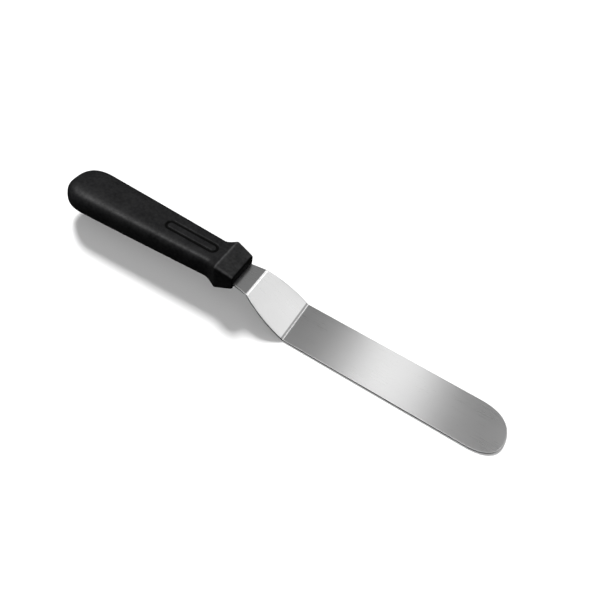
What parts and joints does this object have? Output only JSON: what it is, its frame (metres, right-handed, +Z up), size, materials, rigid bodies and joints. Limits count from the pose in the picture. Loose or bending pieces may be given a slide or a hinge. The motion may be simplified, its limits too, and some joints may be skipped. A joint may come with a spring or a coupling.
{
  "type": "offset spatula",
  "caption": "Offset icing spatula: round-tipped flexible steel blade with a cranked neck, its tang held in a tapering moulded plastic handle with a flared guard collar",
  "frame": {"origin": "middle of the tool's bounding box at the level of the blade's underside", "axes": "+X along the tool from the butt to the blade's tip, +Y across it, +Z up from the flat blade; the blade lies flat on z = 0"},
  "size_m": [0.2782, 0.03, 0.0253],
  "materials": {
    "stainless_strip": "satin, fine grain along the blade",
    "black_polypropylene": "satin moulded"
  },
  "bodies": {
    "root": {"blade": "stainless_strip", "handle": "black_polypropylene"}
  },
  "joints": []
}
